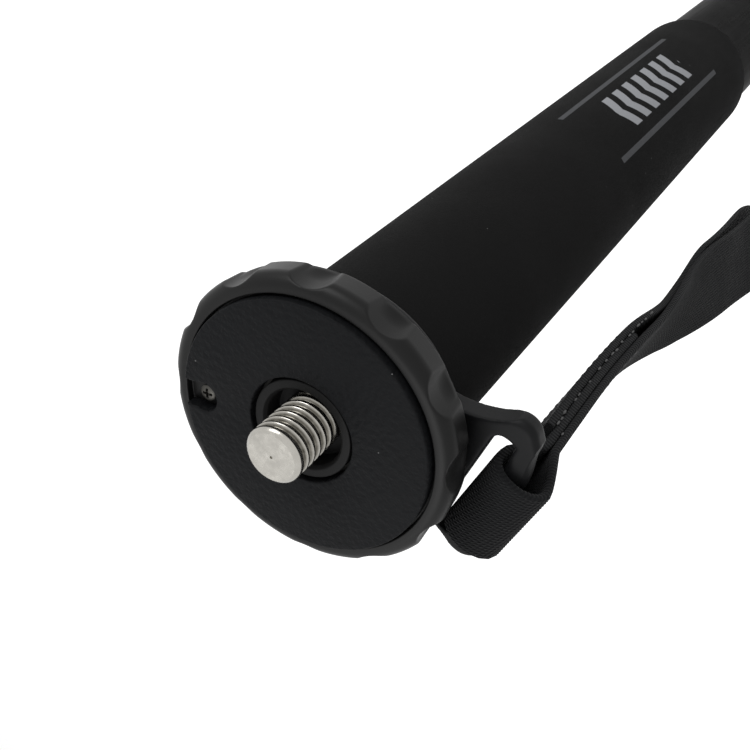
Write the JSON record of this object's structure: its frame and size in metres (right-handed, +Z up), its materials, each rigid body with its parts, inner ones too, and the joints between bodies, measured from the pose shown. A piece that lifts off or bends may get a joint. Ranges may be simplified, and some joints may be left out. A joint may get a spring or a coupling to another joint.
{
  "type": "camera monopod",
  "caption": "Slim folding camera monopod with a scalloped lock wheel under a standard camera screw, a foam grip, a webbing wrist strap, lever-locked sliding tubes and a rubber foot.",
  "frame": {"origin": "centre of the camera platform, on the axis of the camera screw, at the top of the pad", "axes": "+Z up the pole along the camera screw, +X towards the strap lug, folded at rest"},
  "size_m": [0.0863, 0.0502, 0.5633],
  "materials": {
    "steel": "bright nickel plate",
    "pad": "leather-grained soft plastic",
    "wheel": "satin moulding",
    "bush": "black oxide",
    "head": "satin moulding",
    "lug": "soft satin moulding",
    "webbing": "ribbed black webbing",
    "foam": "fine closed-cell foam",
    "tube": "dark satin anodised",
    "bushing": "natural plastic",
    "lock": "fine-textured moulding",
    "foot": "matte rubber"
  },
  "bodies": {
    "head": {"camera_stud": "steel", "head_hub": "head", "strap_lug": "lug", "foam_grip": "foam", "tube_1": "tube", "lock_collar_1": "lock", "lock_liner_1": "bushing", "lock_bolt_1": "steel", "lock_nut_1": "steel", "lever_pin_1": "steel"},
    "wheel_carrier": {"wheel_bush": "bush"},
    "wheel": {"lock_wheel": "wheel", "platform_pad": "pad", "pad_screw": "steel"},
    "strap": {"wrist_strap": "webbing"},
    "section_2": {"tube_2": "tube", "guide_bushing_2": "bushing", "lock_collar_2": "lock", "lock_liner_2": "bushing", "lock_bolt_2": "steel", "lock_nut_2": "steel", "lever_pin_2": "steel"},
    "section_3": {"tube_3": "tube", "guide_bushing_3": "bushing", "lock_collar_3": "lock", "lock_liner_3": "bushing", "lock_bolt_3": "steel", "lock_nut_3": "steel", "lever_pin_3": "steel"},
    "section_4": {"tube_4": "tube", "guide_bushing_4": "bushing", "foot_ferrule": "lock", "foot_plug": "bushing", "rubber_foot": "foot"},
    "lever_1": {"lock_lever_1": "lock"},
    "lever_2": {"lock_lever_2": "lock"},
    "lever_3": {"lock_lever_3": "lock"}
  },
  "joints": [
    {"name": "wheel_lift", "type": "slide", "parent": "head", "child": "wheel_carrier", "axis": [0, 0, 1], "range_m": [0, 0.0015]},
    {"name": "wheel_turn", "type": "hinge", "parent": "wheel_carrier", "child": "wheel", "pos_m": [0, 0, 0], "axis": [0, 0, 1], "range_deg": [0, 360]},
    {"name": "strap_swing", "type": "hinge", "parent": "head", "child": "strap", "pos_m": [0.0292, 0, -0.0126], "axis": [-0.1045, -0.9945, 0], "range_deg": [-2, 100]},
    {"name": "section_2_slide", "type": "slide", "parent": "head", "child": "section_2", "axis": [0, 0, -1], "range_m": [0, 0.35]},
    {"name": "section_3_slide", "type": "slide", "parent": "section_2", "child": "section_3", "axis": [0, 0, -1], "range_m": [0, 0.35]},
    {"name": "section_4_slide", "type": "slide", "parent": "section_3", "child": "section_4", "axis": [0, 0, -1], "range_m": [0, 0.35]},
    {"name": "lever_1_flip", "type": "hinge", "parent": "head", "child": "lever_1", "pos_m": [0.02305, 0.0097, -0.4306], "axis": [0, 0, -1], "range_deg": [0, 150]},
    {"name": "lever_2_flip", "type": "hinge", "parent": "section_2", "child": "lever_2", "pos_m": [0.02105, 0.0097, -0.4686], "axis": [0, 0, -1], "range_deg": [0, 150]},
    {"name": "lever_3_flip", "type": "hinge", "parent": "section_3", "child": "lever_3", "pos_m": [0.01905, 0.0097, -0.5066], "axis": [0, 0, -1], "range_deg": [0, 150]}
  ],
  "couplings": [
    {"joint": "wheel_lift", "follows": "wheel_turn", "m_per_rad": 0.00023849}
  ]
}
